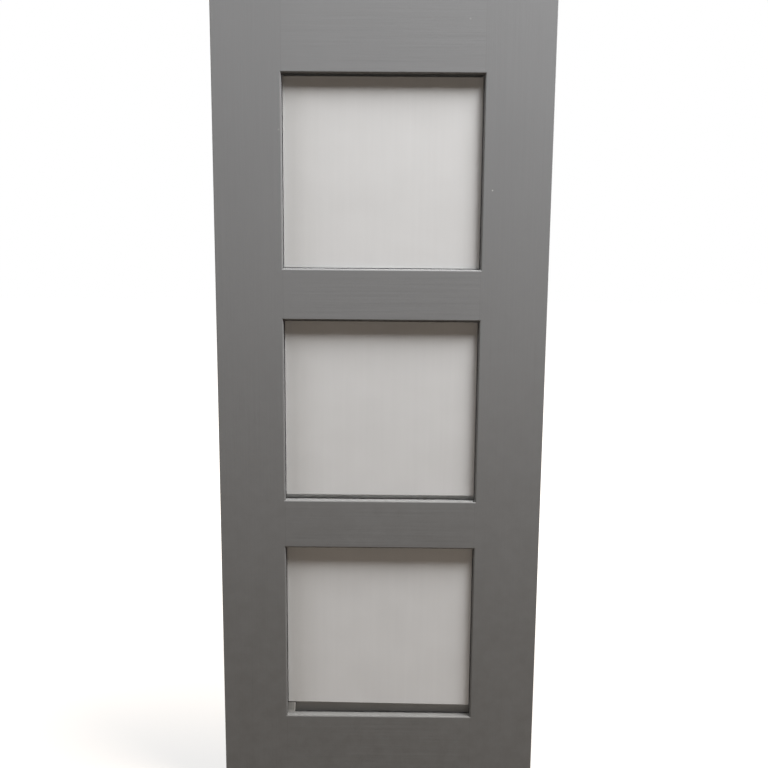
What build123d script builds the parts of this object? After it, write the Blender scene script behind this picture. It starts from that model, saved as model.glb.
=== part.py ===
from build123d import *
import os

# Front door leaf with three nearly square lights. Two stiles and four rails are joined by
# blind mortise-and-tenon joints, haunched at the ends of the leaf. White panes are bedded
# on tape against stops that are planted in the openings from the inside.
# X runs from the hinge edge to the lock edge, Y from the outside face to the inside face,
# and Z up. The origin is on the hinge edge, at mid-thickness and mid-height.

# Leaf: the lights share the height that the rails leave, and the lowest has its extra besides.
leaf_width = 813.0
leaf_height = 2032.0
leaf_thickness = 44.0
stile_width = 165.5
top_rail_height = 173.0
mid_rail_height = 126.5
bottom_rail_height = 220.0
bottom_light_extra = 4.5
outer_arris_radius = 1.5
opening_arris_radius = 4.0

# Mortise-and-tenon joints: the shoulder is the set-back of a tenon from a rail edge that
# faces an opening, and the haunch is its set-back from the end of the leaf.
tenon_thickness = 15.0
tenon_length = 95.0
tenon_shoulder = 12.0
haunch_length = 15.0
haunch_height = 45.0
twin_tenon_gap = 40.0
glue_gap = 0.15
mortise_end_gap = 2.0

# Glazing: a lift is the gap between the sill of an opening and the middle of the pane's
# lower edge, and a head gap is the one over its upper edge. The lowest pane is short, and
# its lower edge is cut out of square: the skew is how much higher it is at the hinge side.
pane_thickness = 6.4
pane_recess = 14.0
pane_arris = 0.5
pane_left_gap = 1.5
pane_right_gap = 2.5
top_pane_lift = 1.6
middle_pane_lift = 11.8
bottom_pane_lift = 29.8
top_head_gap = 6.0
middle_head_gap = 3.0
bottom_head_gap = 3.2
bottom_pane_skew = 5.0
pane_bearing = 12.0
tape_thickness = 3.0
tape_inset = 2.0
stop_setback = 5.5
stop_round = 4.0

# Packing block under the lowest pane, wider at the top
block_foot_width = 18.5
block_head_width = 20.5
block_recess = 14.5
block_chamfer = 0.8
block_seat_gap = 0.1

# Places that follow from the sizes above
light_names = ("top", "middle", "bottom")
light_extras = (0.0, 0.0, bottom_light_extra)
pane_lifts = (top_pane_lift, middle_pane_lift, bottom_pane_lift)
head_gaps = (top_head_gap, middle_head_gap, bottom_head_gap)
pane_skews = (0.0, 0.0, bottom_pane_skew)
leaf_top = leaf_height / 2
leaf_bottom = -leaf_height / 2
opening_left = stile_width
opening_right = leaf_width - stile_width
all_rails = top_rail_height + 2 * mid_rail_height + bottom_rail_height
plain_light_height = (leaf_height - all_rails - sum(light_extras)) / len(light_names)
heads = []
sills = []
for extra in light_extras:
    heads.append(sills[-1] - mid_rail_height if sills else leaf_top - top_rail_height)
    sills.append(heads[-1] - plain_light_height - extra)
rail_spans = {
    "top_rail": (heads[0], leaf_top),
    "upper_mid_rail": (heads[1], sills[0]),
    "lower_mid_rail": (heads[2], sills[1]),
    "bottom_rail": (leaf_bottom, sills[2]),
}
tape_depth = pane_recess + pane_thickness
stop_depth = tape_depth + tape_thickness
stop_thickness = leaf_thickness - stop_depth - stop_setback
stop_width = bottom_pane_lift + pane_bearing
tape_width = pane_bearing - 2 * tape_inset
pane_left = opening_left + pane_left_gap
pane_right = opening_right - pane_right_gap
pane_tops = [head - gap for head, gap in zip(heads, head_gaps)]
middle_of_leaf = Plane.YZ.offset(leaf_width / 2)


def area(left, right, low, high):
    """Rectangle in the front view of the leaf."""
    centre = Pos((left + right) / 2, (low + high) / 2)
    return centre * Rectangle(right - left, high - low)


def plate(outline, depth, thickness):
    """Solid with a front-view outline that starts at a depth behind the outside face."""
    start = Plane.XZ.offset(leaf_thickness / 2 - depth)
    return extrude(start * outline, amount=-thickness)


def opposite(solid):
    """The same form at the lock side of the leaf."""
    return mirror(solid, about=middle_of_leaf)


def leaf_blank():
    """The whole leaf with its openings and eased arrises, before it is cut into members."""
    outline = area(0, leaf_width, leaf_bottom, leaf_top)
    for head, sill in zip(heads, sills):
        outline -= area(opening_left, opening_right, sill, head)
    blank = plate(outline, 0, leaf_thickness)
    opening_edges = [edge for face in blank.faces().filter_by(Axis.Y)
                     for wire in face.inner_wires() for edge in wire.edges()]
    blank = fillet(opening_edges, opening_arris_radius)
    outer_edges = [edge for face in blank.faces().filter_by(Axis.Y)
                   for edge in face.outer_wire().edges()]
    return fillet(outer_edges, outer_arris_radius)


def tenon_spans(rail):
    """Heights that the full-length tenons of a rail take up: the bottom rail has twins."""
    low, high = rail_spans[rail]
    bottom = low + (haunch_height if low == leaf_bottom else tenon_shoulder)
    top = high - (haunch_height if high == leaf_top else tenon_shoulder)
    if rail != "bottom_rail":
        return [(bottom, top)]
    height = (top - bottom - twin_tenon_gap) / 2
    return [(bottom, bottom + height), (top - height, top)]


def haunch_span(rail):
    """Height of the short haunch, which runs out at the end of the leaf."""
    low, high = rail_spans[rail]
    bottom = low if low == leaf_bottom else low + tenon_shoulder
    top = high if high == leaf_top else high - tenon_shoulder
    return bottom, top


def tongue(rail, gap=0.0, end_gap=0.0):
    """Haunch and tenons at the hinge end of a rail, or their mortise with its clearances."""
    bottom, top = haunch_span(rail)
    outline = area(opening_left - haunch_length - end_gap, opening_left, bottom - gap, top + gap)
    for low, high in tenon_spans(rail):
        outline += area(opening_left - tenon_length - end_gap, opening_left, low - gap, high + gap)
    thickness = tenon_thickness + 2 * gap
    return plate(outline, (leaf_thickness - thickness) / 2, thickness)


def stile(blank):
    """Hinge stile with a mortise for each rail."""
    member = blank & plate(area(0, stile_width, leaf_bottom, leaf_top), 0, leaf_thickness)
    for rail in rail_spans:
        member -= tongue(rail, glue_gap, mortise_end_gap)
    return member


def rail_member(blank, rail):
    """Rail between the stiles, with its tongue at both ends."""
    low, high = rail_spans[rail]
    member = blank & plate(area(opening_left, opening_right, low, high), 0, leaf_thickness)
    return member + tongue(rail) + opposite(tongue(rail))


def above_foot(row, inset=0.0):
    """The part of an opening over its pane's lower edge, or over a line at an inset from it."""
    middle = sills[row] + pane_lifts[row] + inset
    rise = pane_skews[row] / 2
    corners = [(opening_left, middle + rise), (opening_right, middle - rise),
               (opening_right, heads[row]), (opening_left, heads[row])]
    return make_face(Polyline(*corners, close=True))


def pane(row):
    """Sheet of glass in an opening, with its edges ground off all round."""
    outline = area(pane_left, pane_right, sills[row], pane_tops[row]) & above_foot(row)
    sheet = plate(outline, pane_recess, pane_thickness)
    return chamfer(sheet.edges(), pane_arris)


def tape_strips(row):
    """Four butted strips round the back of a pane, just inside its edges."""
    left = pane_left + tape_inset
    right = pane_right - tape_inset
    top = pane_tops[row] - tape_inset
    between = area(left + tape_width, right - tape_width, sills[row], top)
    over_strip = above_foot(row, tape_inset + tape_width)
    outlines = {
        "left": area(left, left + tape_width, sills[row], top),
        "right": area(right - tape_width, right, sills[row], top),
        "head": area(left + tape_width, right - tape_width, top - tape_width, top),
        "sill": between - over_strip,
    }
    return {name: plate(outline & above_foot(row, tape_inset), tape_depth, tape_thickness)
            for name, outline in outlines.items()}


def stops(row):
    """Four stops mitred at the corners of an opening, rounded towards the room."""
    outer = [(opening_left, sills[row]), (opening_right, sills[row]),
             (opening_right, heads[row]), (opening_left, heads[row])]
    inner = [(opening_left + stop_width, sills[row] + stop_width),
             (opening_right - stop_width, sills[row] + stop_width),
             (opening_right - stop_width, heads[row] - stop_width),
             (opening_left + stop_width, heads[row] - stop_width)]
    result = {}
    for corner, side in enumerate(("sill", "right", "head", "left")):
        after = (corner + 1) % len(outer)
        corners = [outer[corner], outer[after], inner[after], inner[corner]]
        blank = plate(make_face(Polyline(*corners, close=True)), stop_depth, stop_thickness)
        along = Axis.Z if side in ("left", "right") else Axis.X
        room_edges = blank.edges().filter_by(along).group_by(Axis.Y)[-1]
        result[side] = fillet(room_edges.sort_by(SortBy.LENGTH)[0], stop_round)
    return result


def packing_block():
    """Block on the lowest sill that the short pane stands on at its hinge-side corner."""
    foot = opening_left + block_foot_width
    head = opening_left + block_head_width
    slope = bottom_pane_skew / (opening_right - opening_left)
    rise = (leaf_width / 2 - head) * slope
    top = sills[-1] + bottom_pane_lift + rise - block_seat_gap
    corners = [(opening_left, sills[-1]), (foot, sills[-1]), (head, top), (opening_left, top)]
    outline = make_face(Polyline(*corners, close=True))
    block = plate(outline, block_recess, stop_depth - block_recess)
    front = block.faces().sort_by(Axis.Y)[0]
    return chamfer(front.edges(), block_chamfer)


def build_leaf():
    """All pieces of the leaf by name."""
    blank = leaf_blank()
    hinge_stile = stile(blank)
    pieces = {"hinge_stile": hinge_stile, "lock_stile": opposite(hinge_stile)}
    for rail in rail_spans:
        pieces[rail] = rail_member(blank, rail)
    for row, light in enumerate(light_names):
        pieces[f"{light}_pane"] = pane(row)
        for side, strip in tape_strips(row).items():
            pieces[f"{light}_{side}_tape"] = strip
        for side, stop in stops(row).items():
            pieces[f"{light}_{side}_stop"] = stop
    pieces["packing_block"] = packing_block()
    return pieces


os.makedirs("parts", exist_ok=True)
for name, solid in build_leaf().items():
    export_step(solid, f"parts/{name}.step")
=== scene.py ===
import math
import bpy
from mathutils import Matrix, Vector


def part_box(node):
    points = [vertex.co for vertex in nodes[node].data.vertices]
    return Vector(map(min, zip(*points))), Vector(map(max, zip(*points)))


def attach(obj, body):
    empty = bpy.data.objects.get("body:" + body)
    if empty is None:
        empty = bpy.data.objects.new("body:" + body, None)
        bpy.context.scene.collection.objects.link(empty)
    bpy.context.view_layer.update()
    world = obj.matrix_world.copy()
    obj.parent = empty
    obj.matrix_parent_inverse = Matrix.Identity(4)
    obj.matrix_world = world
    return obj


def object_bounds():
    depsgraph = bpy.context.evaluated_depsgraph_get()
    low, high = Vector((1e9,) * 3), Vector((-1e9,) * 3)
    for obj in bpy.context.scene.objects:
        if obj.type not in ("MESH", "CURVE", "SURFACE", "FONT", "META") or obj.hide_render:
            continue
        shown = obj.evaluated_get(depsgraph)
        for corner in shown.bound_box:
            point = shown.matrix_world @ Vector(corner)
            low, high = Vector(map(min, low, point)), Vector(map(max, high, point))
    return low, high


# Grey painted front door leaf with three lights of white glass.
# Lengths are in metres, angles in degrees and colours in linear light.
# A pattern is the scale, the detail and the roughness of a noise, and a brushed pattern has
# two scales, across the grain and along it. A ramp is where it starts and ends on what it
# reads, and its values there. A tone is what a colour is multiplied by.

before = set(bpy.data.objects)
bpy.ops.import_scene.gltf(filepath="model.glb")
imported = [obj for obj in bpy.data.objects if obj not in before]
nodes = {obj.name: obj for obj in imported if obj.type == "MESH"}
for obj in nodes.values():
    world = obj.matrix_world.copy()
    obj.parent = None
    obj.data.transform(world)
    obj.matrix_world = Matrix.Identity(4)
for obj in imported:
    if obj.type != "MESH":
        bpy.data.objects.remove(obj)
cad_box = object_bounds()

# Camera, fitted to the edges of the leaf and its openings in the photograph
picture_width = 768
focal_pixels = 1050.0
sensor_width = 36.0
camera_place = (0.4298, -2.5876, 0.5857)
camera_tilt = 10.759
camera_heading = 0.348
camera_roll = 0.439

# Studio: soft lamps overhead face down, and weak warm light comes from round the horizon.
lamps = {
    "main_lamp": {"place": (2.45, -0.95, 4.8), "width": 2.3, "depth": 1.70, "power": 1320.0},
    "left_lamp": {"place": (-4.60, -1.10, 5.3), "width": 5.0, "depth": 1.2, "power": 560.0},
    "back_lamp": {"place": (0.40, 4.20, 2.8), "width": 3.0, "depth": 2.0, "power": 430.0},
}
plain_white = (1.0, 1.0, 1.0)
fill_colour = (1.0, 0.88, 0.76)
fill_rise = (0.0, 0.25, 0.0, 0.14)
fill_fall = (0.55, 0.80, 1.0, 0.0)
floor_reach = 12.0
floor_colour = (0.110, 0.092, 0.075)
floor_glow = (0.707, 0.725, 0.740)
floor_fade = (0.45, 2.2, 0.0, 1.0)

# Grey paint, its brush marks and their depths
paint_grey = (0.163, 0.165, 0.168)
paint_variation = 0.032
rail_tone = 1.02
stile_tone = 1.0
stop_tone = 0.97
paint_gloss = 0.15
paint_roughness = (0.3, 0.7, 0.45, 0.57)
shaded_arris_roughness = 0.6
paint_clouds = (2.3, 3.0, 0.5)
paint_patches = (30.0, 4.0, 0.6)
paint_stipple = (950.0, 2.0, 0.5)
brush_waves = (120.0, 2.5, 3.0, 0.55)
brush_streaks = (380.0, 5.0, 5.0, 0.65)
brush_hairs = (1400.0, 22.0, 2.0, 0.5)
wave_depth = 0.00019
streak_depth = 0.00009
hair_depth = 0.00005
stipple_depth = 0.00006
paint_cloud_weight = 0.65
mottle_spread = (0.36, 0.64, 0.0, 1.0)

# Painted shade and the age of the paint: painted shade towards the foot of the leaf, on ledges
# and on arrises, then wear and the hairlines at joints and mitres
foot_shade_grey = (0.097, 0.094, 0.090)
foot_shade_top = 0.9
foot_shade_most = 0.85
foot_shade_patches = (0.3, 0.7, 0.9, 1.1)
# Grey of the painted shade on ledges and arrises, and of the dirt in joints, mitres and end grain
shade_and_dirt_grey = (0.050, 0.048, 0.044)
ledge_shade_facing = (0.3, 0.7, 0.0, 0.42)
ledge_shade_patches = (0.3, 0.7, 0.85, 1.0)
arris_facing = (0.98, 0.75, 0.0, 1.0)
# Painted shade on arrises, by how upright they are
arris_shade_by_level = (0.05, 0.3, 0.60, 0.28)
worn_paint = (0.230, 0.228, 0.224)
worn_patches = (0.42, 0.68, 0.0, 0.18)
joint_hairline = (0.00015, 0.0006, 0.19, 0.0)
mitre_hairline = (0.0003, 0.0012, 0.55, 0.0)

# Chips in the outside face: place across and up, radius and strength. The core is whole.
chip_colour = (0.46, 0.45, 0.43)
chip_core = 0.4
chips = [
    ((0.6712, 0.5734), 0.0022, 0.75),
    ((0.6094, 0.9674), 0.0030, 0.18),
    ((0.1585, 0.7123), 0.0030, 0.18),
]

# Growth rings on the sawn ends of the stiles
ring_stretch = (1.0, 1.6, 1.0)
ring_scale = 55.0
ring_distortion = 3.0
ring_dirt = 0.22
ring_depth = 0.0003
end_facing = (0.9, 0.99, 0.0, 1.0)

# Pale paint on the outside faces of the stops, a painted fill light that is painted darker low on the
# leaf
painted_fill_grey = (0.80, 0.82, 0.84)
painted_fill_dark_tone = 0.9
painted_fill_light_tone = 1.08
painted_fill_foot_grey = (0.095, 0.098, 0.104)
painted_fill_fade = (-0.30, -0.80, 0.0, 0.72)
outside_facing = (-0.9, -0.98, 0.0, 1.0)
sill_painted_fill = 1.0
head_painted_fill = 0.4

# White glass, with painted shade along its hinge side
glass_white = (0.480, 0.480, 0.481)
glass_variation = 0.02
glass_gloss = 0.2
glass_roughness = (0.3, 0.7, 0.36, 0.5)
glass_clouds = (6.0, 3.0, 0.5)
glass_streaks = (90.0, 2.5, 3.0, 0.6)
glass_specks = (420.0, 3.0, 0.6)
glass_waves = (9.0, 2.0, 0.5)
glass_cloud_weight = 0.6
glass_wave_depth = 0.0006
speck_depth = 0.00004
glass_side_shade = (0.368, 0.364, 0.352)
side_shade_reach = 0.12
side_shade_growth = (0.0, -0.8, 0.25, 0.45)
side_shade_specks = (0.35, 0.65, 0.8, 1.1)

# Black foam tape with closed cells
tape_black = (0.03, 0.03, 0.03)
tape_dusty_tone = 2.2
tape_gloss = 0.3
tape_roughness = (0.3, 0.7, 0.75, 0.92)
tape_cell_scale = 1600.0
tape_cell_depth = 0.0003
tape_dust = (90.0, 4.0, 0.6)
tape_dust_spread = (0.35, 0.7, 0.0, 0.4)

# Pale block, with ramps over the distances from its free side, its foot and its top
block_pale = (0.22, 0.215, 0.205)
block_gloss = 0.4
block_roughness = (0.3, 0.7, 0.5, 0.68)
block_scratches = (900.0, 60.0, 4.0, 0.6)
block_patches = (160.0, 4.0, 0.6)
scratch_spread = (0.35, 0.65, 0.0, 1.0)
scratch_dark_tone = 0.88
scratch_light_tone = 1.1
scratch_depth = 0.0001
# Dark tone of the dirt patches and of the painted shade in the inner corner
dirt_and_shade_tone = 0.5
grubby_patches = (0.5, 0.75, 0.0, 0.45)
corner_shade = 0.55
corner_shade_end = 0.002
# Painted light along the free side and the foot
painted_light_tone = 1.6
painted_light_side = (0.006, 0.001, 0.0, 0.7)
painted_light_foot = (0.002, 0.010, 0.8, 0.0)
# Painted shadow under the pane along the top
seam_shadow_tone = 0.2
seam_shadow_at_top = (0.0035, 0.0015, 0.0, 0.8)

# Filled pin heads on the room faces of the stops
pin_sides = 20
pin_radius = 0.0017
pin_rise = 0.0004
pin_rim = 0.00051
pin_slope = 0.000425
pin_dish = 0.00025
pin_round = 0.0002
pin_round_steps = 2
pin_smooth_angle = 35
pin_spacing = 0.14
pin_end = 0.065

# Names and places of the parts in model.glb
lights = ("top", "middle", "bottom")
stop_sides = ("left", "right", "head", "sill")
stile_nodes = ["hinge_stile", "lock_stile"]
rail_nodes = ["top_rail", "upper_mid_rail", "lower_mid_rail", "bottom_rail"]
side_stops = [f"{light}_{side}_stop" for light in lights for side in ("left", "right")]
head_stops = [f"{light}_head_stop" for light in lights]
sill_stops = [f"{light}_sill_stop" for light in lights]
pane_nodes = [f"{light}_pane" for light in lights]
tape_nodes = [name for name in nodes if name.endswith("_tape")]
face_plane = cad_box[0].y
leaf_middle = (cad_box[0].x + cad_box[1].x) / 2
leaf_bottom = cad_box[0].z
joint_places = (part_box("hinge_stile")[1].x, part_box("lock_stile")[0].x)
glass_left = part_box("top_pane")[0].x


def add_node(tree, kind, **settings):
    """New shader node with its settings."""
    made = tree.nodes.new("ShaderNode" + kind)
    for setting, value in settings.items():
        setattr(made, setting, value)
    return made


def feed(tree, value, socket):
    """Links an output to a socket, or sets the socket to a number or a colour."""
    if isinstance(value, bpy.types.NodeSocket):
        tree.links.new(value, socket)
    elif isinstance(value, tuple) and socket.type == "RGBA":
        socket.default_value = (*value, 1.0)
    else:
        socket.default_value = value


def math_node(tree, operation, first, second=0.0):
    node = add_node(tree, "Math", operation=operation)
    feed(tree, first, node.inputs[0])
    feed(tree, second, node.inputs[1])
    return node.outputs[0]


def times(tree, first, second):
    return math_node(tree, "MULTIPLY", first, second)


def minus(tree, first, second):
    return math_node(tree, "SUBTRACT", first, second)


def by_axis(tree, vector):
    """The X, Y and Z of a vector."""
    node = add_node(tree, "SeparateXYZ")
    feed(tree, vector, node.inputs[0])
    return node.outputs


def stretched(tree, place, scale):
    """Coordinates scaled along each axis."""
    node = add_node(tree, "Mapping")
    feed(tree, place, node.inputs["Vector"])
    feed(tree, scale, node.inputs["Scale"])
    return node.outputs["Vector"]


def noise(tree, place, scale, detail, rough):
    node = add_node(tree, "TexNoise")
    feed(tree, place, node.inputs["Vector"])
    feed(tree, scale, node.inputs["Scale"])
    feed(tree, detail, node.inputs["Detail"])
    feed(tree, rough, node.inputs["Roughness"])
    return node.outputs["Fac"]


def brushed(tree, place, grain, across, along, detail, rough):
    """Noise drawn out along the grain, which runs in x or z."""
    scale = (along, across, across) if grain == "x" else (across, across, along)
    return noise(tree, stretched(tree, place, scale), 1.0, detail, rough)


def ramp(tree, value, start, end, low, high, shape="LINEAR"):
    """Number that goes from low to high as a value goes from start to end."""
    node = add_node(tree, "MapRange", interpolation_type=shape)
    feed(tree, value, node.inputs["Value"])
    feed(tree, start, node.inputs["From Min"])
    feed(tree, end, node.inputs["From Max"])
    feed(tree, low, node.inputs["To Min"])
    feed(tree, high, node.inputs["To Max"])
    return node.outputs["Result"]


def blend(tree, share, first, second):
    """Colour between two colours."""
    node = add_node(tree, "Mix", data_type="RGBA")
    feed(tree, share, node.inputs["Factor"])
    feed(tree, first, node.inputs[6])
    feed(tree, second, node.inputs[7])
    return node.outputs[2]


def relief(tree, height, depth, below=None):
    """Surface normal roughened by a height pattern."""
    node = add_node(tree, "Bump")
    feed(tree, depth, node.inputs["Distance"])
    feed(tree, height, node.inputs["Height"])
    if below is not None:
        feed(tree, below, node.inputs["Normal"])
    return node.outputs["Normal"]


def shade(colour, tone):
    return tuple(channel * tone for channel in colour)


def new_material(name):
    """Node material with its tree and shader."""
    material = bpy.data.materials.new(name)
    material.use_nodes = True
    return material, material.node_tree, material.node_tree.nodes["Principled BSDF"]


def set_finish(tree, shader, colour, roughness, gloss, surface):
    """Feeds the colour, the sheen and the relief of a material."""
    feed(tree, colour, shader.inputs["Base Color"])
    feed(tree, roughness, shader.inputs["Roughness"])
    feed(tree, gloss, shader.inputs["Specular IOR Level"])
    feed(tree, surface, shader.inputs["Normal"])


def mottle_share(tree, clouds, streaks, cloud_weight):
    """Clouds and streaks together, spread from zero to one."""
    both = math_node(tree, "ADD", times(tree, clouds, cloud_weight),
                     times(tree, streaks, 1 - cloud_weight))
    return ramp(tree, both, *mottle_spread)


def mottled(tree, mottle, colour, variation):
    """A colour that varies a little, darker and lighter."""
    return blend(tree, mottle, shade(colour, 1 - variation), shade(colour, 1 + variation))


def arris_share(tree, normal):
    """One on rounded arrises, zero on flat faces."""
    size = add_node(tree, "VectorMath", operation="ABSOLUTE")
    feed(tree, normal, size.inputs[0])
    facing = by_axis(tree, size.outputs[0])
    widest = math_node(tree, "MAXIMUM", facing["X"], facing["Y"])
    widest = math_node(tree, "MAXIMUM", widest, facing["Z"])
    return ramp(tree, widest, *arris_facing, "SMOOTHSTEP")


def chip_share(tree, place, spot, radius, most):
    """Round mark on the outside face."""
    node = add_node(tree, "VectorMath", operation="DISTANCE")
    feed(tree, place, node.inputs[0])
    feed(tree, (spot[0], face_plane, spot[1]), node.inputs[1])
    return ramp(tree, node.outputs["Value"], chip_core * radius, radius, most, 0.0, "SMOOTHSTEP")


def joint_share(tree, at):
    """Dirt in the hairlines where the rails meet the stiles."""
    lines = []
    for line in joint_places:
        offset = math_node(tree, "ABSOLUTE", minus(tree, at["X"], line))
        lines.append(ramp(tree, offset, *joint_hairline, "SMOOTHSTEP"))
    return math_node(tree, "MAXIMUM", *lines)


def mitre_share(tree, at):
    """Dirt in the hairlines where the stops meet at the corners of the lights."""
    left, right = joint_places
    across = math_node(tree, "MINIMUM", minus(tree, at["X"], left), minus(tree, right, at["X"]))
    depths = []
    for light in lights:
        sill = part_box(f"{light}_sill_stop")[0].z
        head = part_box(f"{light}_head_stop")[1].z
        depths.append(math_node(tree, "MINIMUM", minus(tree, at["Z"], sill),
                                minus(tree, head, at["Z"])))
    upright = math_node(tree, "MAXIMUM", depths[0], math_node(tree, "MAXIMUM", *depths[1:]))
    offset = math_node(tree, "ABSOLUTE", minus(tree, across, upright))
    return ramp(tree, offset, *mitre_hairline, "SMOOTHSTEP")


def aged_and_shaded_paint(tree, colour, at, facing, patches, arris, shaded_arris):
    """Painted shade towards the foot of the leaf, on ledges and on arrises, and worn arrises."""
    # Painted shade: darker towards the foot of the leaf, in patches
    foot_shade = ramp(tree, at["Z"], foot_shade_top, leaf_bottom, 0.0, foot_shade_most, "SMOOTHSTEP")
    foot_shade = times(tree, foot_shade, ramp(tree, patches, *foot_shade_patches))
    colour = blend(tree, foot_shade, colour, foot_shade_grey)
    # Painted shade on faces that look up, such as the sills
    ledge_shade = ramp(tree, facing["Z"], *ledge_shade_facing, "SMOOTHSTEP")
    ledge_shade = times(tree, ledge_shade, ramp(tree, patches, *ledge_shade_patches))
    colour = blend(tree, ledge_shade, colour, shade_and_dirt_grey)
    # Painted shade on arrises
    colour = blend(tree, shaded_arris, colour, shade_and_dirt_grey)
    wear = times(tree, arris, ramp(tree, patches, *worn_patches, "SMOOTHSTEP"))
    return blend(tree, wear, colour, worn_paint)


def painted_fill_colour(tree, mottle, at):
    """Pale painted fill light that gets darker towards the foot of the leaf."""
    pale_fill = blend(tree, mottle, shade(painted_fill_grey, painted_fill_dark_tone),
                   shade(painted_fill_grey, painted_fill_light_tone))
    return blend(tree, ramp(tree, at["Z"], *painted_fill_fade), pale_fill, painted_fill_foot_grey)


def end_rings(tree, place, level):
    """Growth rings on faces that look up or down."""
    rings = add_node(tree, "TexWave", wave_type="RINGS", rings_direction="Z")
    feed(tree, stretched(tree, place, ring_stretch), rings.inputs["Vector"])
    feed(tree, ring_scale, rings.inputs["Scale"])
    feed(tree, ring_distortion, rings.inputs["Distortion"])
    return times(tree, rings.outputs["Fac"], ramp(tree, level, *end_facing))


def grey_paint(name, grain, tone, with_joints=False, with_ends=False, with_mitres=False, painted_fill_share=0.0):
    """Brushed satin paint. The grain says which way the brush and the wood run, x or z."""
    material, tree, shader = new_material(name)
    coordinates = add_node(tree, "TexCoord")
    place = coordinates.outputs["Object"]
    normal = coordinates.outputs["Normal"]
    at = by_axis(tree, place)
    facing = by_axis(tree, normal)
    level = math_node(tree, "ABSOLUTE", facing["Z"])
    patches = noise(tree, place, *paint_patches)
    streaks = brushed(tree, place, grain, *brush_streaks)
    mottle = mottle_share(tree, noise(tree, place, *paint_clouds), streaks, paint_cloud_weight)
    arris = arris_share(tree, normal)
    # Painted shade on arrises, most on upright ones, to dim their highlights; these arrises are also
    # rougher
    shaded_arris = times(tree, arris, ramp(tree, level, *arris_shade_by_level))

    colour = mottled(tree, mottle, shade(paint_grey, tone), paint_variation)
    colour = aged_and_shaded_paint(tree, colour, at, facing, patches, arris, shaded_arris)
    if with_joints:
        colour = blend(tree, joint_share(tree, at), colour, shade_and_dirt_grey)
    if with_mitres:
        colour = blend(tree, mitre_share(tree, at), colour, shade_and_dirt_grey)
    # Painted fill light: a pale colour on the faces of the stops that look out
    if painted_fill_share:
        fill_share = times(tree, ramp(tree, facing["Y"], *outside_facing), painted_fill_share)
        colour = blend(tree, fill_share, colour, painted_fill_colour(tree, mottle, at))
    for spot, radius, most in chips:
        colour = blend(tree, chip_share(tree, place, spot, radius, most), colour, chip_colour)

    surface = relief(tree, brushed(tree, place, grain, *brush_waves), wave_depth)
    surface = relief(tree, streaks, streak_depth, surface)
    surface = relief(tree, brushed(tree, place, grain, *brush_hairs), hair_depth, surface)
    surface = relief(tree, noise(tree, place, *paint_stipple), stipple_depth, surface)
    if with_ends:
        rings = end_rings(tree, place, level)
        colour = blend(tree, times(tree, rings, ring_dirt), colour, shade_and_dirt_grey)
        surface = relief(tree, rings, ring_depth, surface)
    roughness = math_node(tree, "ADD", ramp(tree, patches, *paint_roughness),
                          times(tree, shaded_arris, shaded_arris_roughness))
    set_finish(tree, shader, colour, roughness, paint_gloss, surface)
    return material


def opal_glass():
    """White satin glass, with painted shade along the hinge side, more of it low down."""
    material, tree, shader = new_material("white_opal_glass")
    place = add_node(tree, "TexCoord").outputs["Object"]
    at = by_axis(tree, place)
    streaks = brushed(tree, place, "z", *glass_streaks)
    specks = noise(tree, place, *glass_specks)
    mottle = mottle_share(tree, noise(tree, place, *glass_clouds), streaks, glass_cloud_weight)
    # Painted shade along the hinge side of each pane, more of it low down
    dust_and_side_shade = ramp(tree, at["X"], glass_left, glass_left + side_shade_reach, 1.0, 0.0, "SMOOTHSTEP")
    dust_and_side_shade = times(tree, dust_and_side_shade, ramp(tree, at["Z"], *side_shade_growth))
    dust_and_side_shade = times(tree, dust_and_side_shade, ramp(tree, specks, *side_shade_specks))
    colour = blend(tree, dust_and_side_shade, mottled(tree, mottle, glass_white, glass_variation), glass_side_shade)
    surface = relief(tree, noise(tree, place, *glass_waves), glass_wave_depth)
    surface = relief(tree, specks, speck_depth, surface)
    set_finish(tree, shader, colour, ramp(tree, specks, *glass_roughness), glass_gloss, surface)
    return material


def foam_tape():
    """Black foam with closed cells and a little dust."""
    material, tree, shader = new_material("black_foam_tape")
    place = add_node(tree, "TexCoord").outputs["Object"]
    cells = add_node(tree, "TexVoronoi")
    feed(tree, place, cells.inputs["Vector"])
    feed(tree, tape_cell_scale, cells.inputs["Scale"])
    dust_and_side_shade = noise(tree, place, *tape_dust)
    colour = blend(tree, ramp(tree, dust_and_side_shade, *tape_dust_spread), tape_black,
                   shade(tape_black, tape_dusty_tone))
    surface = relief(tree, cells.outputs["Distance"], tape_cell_depth)
    set_finish(tree, shader, colour, ramp(tree, dust_and_side_shade, *tape_roughness), tape_gloss, surface)
    return material


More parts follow.
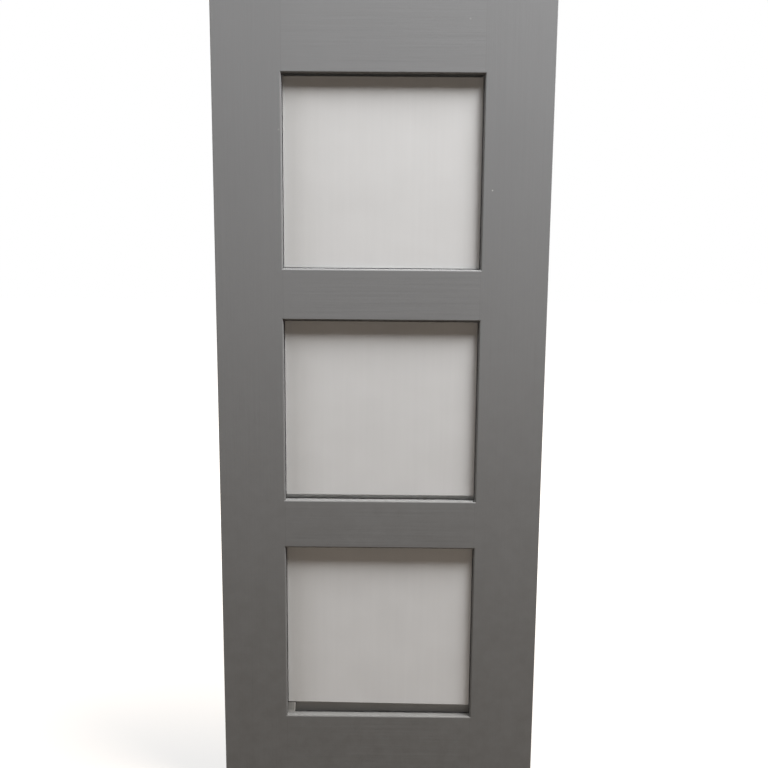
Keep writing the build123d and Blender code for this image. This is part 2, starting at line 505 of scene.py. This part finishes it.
def scuffed_block():
    """Pale block with fine upright scratches, painted lighter along its free side and its foot, with
    painted shade in its inner corner and a painted shadow along its top.
    """
    material, tree, shader = new_material("pale_packing_block")
    place = add_node(tree, "TexCoord").outputs["Object"]
    at = by_axis(tree, place)
    low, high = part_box("packing_block")
    from_side = minus(tree, high.x, at["X"])
    from_foot = minus(tree, at["Z"], low.z)
    from_top = minus(tree, high.z, at["Z"])
    scratches = brushed(tree, place, "z", *block_scratches)
    patches = noise(tree, place, *block_patches)
    dirt_and_shade = shade(block_pale, dirt_and_shade_tone)
    colour = blend(tree, ramp(tree, scratches, *scratch_spread),
                   shade(block_pale, scratch_dark_tone), shade(block_pale, scratch_light_tone))
    colour = blend(tree, ramp(tree, patches, *grubby_patches), colour, dirt_and_shade)
    # Painted shade in the inner corner
    corner = ramp(tree, from_side, high.x - low.x, corner_shade_end, corner_shade, 0.0)
    colour = blend(tree, corner, colour, dirt_and_shade)
    # Painted light along the free side and the foot
    painted_light = math_node(tree, "MAXIMUM", ramp(tree, from_side, *painted_light_side),
                       ramp(tree, from_foot, *painted_light_foot))
    colour = blend(tree, painted_light, colour, shade(block_pale, painted_light_tone))
    # Painted shadow under the pane along the top
    colour = blend(tree, ramp(tree, from_top, *seam_shadow_at_top), colour, shade(block_pale, seam_shadow_tone))
    surface = relief(tree, scratches, scratch_depth)
    set_finish(tree, shader, colour, ramp(tree, patches, *block_roughness), block_gloss, surface)
    return material


def dress(names, material):
    """Gives a material to CAD nodes."""
    for name in names:
        slots = nodes[name].data.materials
        slots.clear()
        slots.append(material)


def deselect():
    bpy.ops.object.select_all(action="DESELECT")


def pin_head():
    """One filled pin head, facing the room: a low disc with a rounded rim and a dished middle."""
    deselect()
    bpy.ops.mesh.primitive_cylinder_add(vertices=pin_sides, radius=pin_radius, depth=2 * pin_rise,
                                        rotation=(math.radians(-90), 0, 0))
    pin = bpy.context.object
    bpy.ops.object.transform_apply(location=False, rotation=True, scale=False)
    bpy.ops.object.mode_set(mode="EDIT")
    bpy.ops.mesh.select_mode(type="FACE")
    bpy.ops.mesh.select_all(action="DESELECT")
    bpy.ops.object.mode_set(mode="OBJECT")
    room_face = max(pin.data.polygons, key=lambda face: face.center.y)
    room_face.select = True
    bpy.ops.object.mode_set(mode="EDIT")
    bpy.ops.mesh.inset(thickness=pin_rim, depth=0.0)
    bpy.ops.mesh.inset(thickness=pin_slope, depth=-pin_dish)
    bpy.ops.object.mode_set(mode="OBJECT")
    rim = pin.modifiers.new("rim", "BEVEL")
    rim.width = pin_round
    rim.segments = pin_round_steps
    rim.limit_method = "ANGLE"
    bpy.ops.object.modifier_apply(modifier=rim.name)
    return pin


def pin_places(stop):
    """Evenly spaced places along the middle of a stop's room face."""
    low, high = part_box(stop)
    upright = (high.z - low.z) > (high.x - low.x)
    length = (high.z - low.z) if upright else (high.x - low.x)
    gaps = round((length - 2 * pin_end) / pin_spacing)
    middle = (low + high) / 2
    places = []
    for number in range(gaps + 1):
        along = pin_end + number * (length - 2 * pin_end) / gaps
        spot = (middle.x, low.z + along) if upright else (low.x + along, middle.z)
        places.append(Vector((spot[0], high.y, spot[1])))
    return places


def stop_pins(light, master, material):
    """The pin heads of one light, joined in one piece."""
    copies = []
    for side in stop_sides:
        for place in pin_places(f"{light}_{side}_stop"):
            pin = master.copy()
            pin.data = master.data.copy()
            pin.location = place
            bpy.context.scene.collection.objects.link(pin)
            copies.append(pin)
    deselect()
    for pin in copies:
        pin.select_set(True)
    bpy.context.view_layer.objects.active = copies[0]
    bpy.ops.object.join()
    bpy.ops.object.transform_apply(location=True, rotation=True, scale=True)
    bpy.ops.object.shade_smooth_by_angle(angle=math.radians(pin_smooth_angle))
    piece = bpy.context.object
    piece.name = f"{light}_stop_pins"
    piece.data.materials.clear()
    piece.data.materials.append(material)
    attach(piece, "root")


def seen_rays(tree):
    """One for rays from the camera and for mirror-like and clear rays, zero for the rest."""
    path = add_node(tree, "LightPath")
    seen = math_node(tree, "MAXIMUM", path.outputs["Is Camera Ray"], path.outputs["Is Glossy Ray"])
    return math_node(tree, "MAXIMUM", seen, path.outputs["Is Transmission Ray"])


def make_world():
    """White where it is seen, and elsewhere a weak warm light from round the horizon."""
    world = bpy.data.worlds.new("studio")
    world.use_nodes = True
    bpy.context.scene.world = world
    tree = world.node_tree
    seen = tree.nodes["Background"]
    feed(tree, plain_white, seen.inputs["Color"])
    feed(tree, 1.0, seen.inputs["Strength"])
    fill = add_node(tree, "Background")
    height = by_axis(tree, add_node(tree, "TexCoord").outputs["Generated"])["Z"]
    strength = times(tree, ramp(tree, height, *fill_rise), ramp(tree, height, *fill_fall))
    feed(tree, fill_colour, fill.inputs["Color"])
    feed(tree, strength, fill.inputs["Strength"])
    choice = add_node(tree, "MixShader")
    feed(tree, seen_rays(tree), choice.inputs["Fac"])
    tree.links.new(fill.outputs["Background"], choice.inputs[1])
    tree.links.new(seen.outputs["Background"], choice.inputs[2])
    tree.links.new(choice.outputs["Shader"], tree.nodes["World Output"].inputs["Surface"])


def make_lamp(name, place, width, depth, power):
    """Soft oval lamp that faces down."""
    data = bpy.data.lights.new(name, "AREA")
    data.shape = "ELLIPSE"
    data.size = width
    data.size_y = depth
    data.energy = power
    lamp = bpy.data.objects.new(name, data)
    lamp.location = place
    bpy.context.scene.collection.objects.link(lamp)


def make_camera():
    """Camera at its place, turned by its heading, its tilt and its roll in that order."""
    data = bpy.data.cameras.new("camera")
    data.sensor_width = sensor_width
    data.lens = focal_pixels / picture_width * sensor_width
    camera = bpy.data.objects.new("camera", data)
    heading = Matrix.Rotation(math.radians(camera_heading), 4, "Z")
    tilt = Matrix.Rotation(math.radians(90.0 - camera_tilt), 4, "X")
    roll = Matrix.Rotation(math.radians(camera_roll), 4, "Z")
    camera.matrix_world = Matrix.Translation(camera_place) @ heading @ tilt @ roll
    bpy.context.scene.collection.objects.link(camera)
    bpy.context.scene.camera = camera


def make_floor():
    """Matte floor under the bottom edge of the leaf, which turns white away from it."""
    deselect()
    bpy.ops.mesh.primitive_plane_add(size=2 * floor_reach, location=(leaf_middle, 0, leaf_bottom))
    floor = bpy.context.object
    floor.name = "floor"
    material, tree, shader = new_material("pale_floor")
    feed(tree, floor_colour, shader.inputs["Base Color"])
    feed(tree, 1.0, shader.inputs["Roughness"])
    feed(tree, 0.0, shader.inputs["Specular IOR Level"])
    distance = add_node(tree, "VectorMath", operation="LENGTH")
    feed(tree, add_node(tree, "TexCoord").outputs["Object"], distance.inputs[0])
    away = ramp(tree, distance.outputs["Value"], *floor_fade, "SMOOTHSTEP")
    feed(tree, blend(tree, away, floor_glow, plain_white), shader.inputs["Emission Color"])
    feed(tree, seen_rays(tree), shader.inputs["Emission Strength"])
    floor.data.materials.append(material)


dress(stile_nodes, grey_paint("stile_paint", "z", stile_tone, with_joints=True, with_ends=True))
dress(rail_nodes, grey_paint("rail_paint", "x", rail_tone, with_joints=True))
# The stops carry painted fill light on their outside faces, less of it on the head stops
side_stop_paint = grey_paint("side_stop_paint", "z", stop_tone, with_mitres=True, painted_fill_share=sill_painted_fill)
dress(side_stops, side_stop_paint)
dress(head_stops, grey_paint("head_stop_paint", "x", stop_tone, with_mitres=True, painted_fill_share=head_painted_fill))
dress(sill_stops, grey_paint("sill_stop_paint", "x", stop_tone, with_mitres=True, painted_fill_share=sill_painted_fill))
dress(pane_nodes, opal_glass())
dress(tape_nodes, foam_tape())
dress(["packing_block"], scuffed_block())

pin = pin_head()
for light in lights:
    stop_pins(light, pin, side_stop_paint)
bpy.data.objects.remove(pin)

make_world()
for name, sizes in lamps.items():
    make_lamp(name, **sizes)
make_camera()
make_floor()

bpy.context.scene.view_settings.view_transform = "Standard"
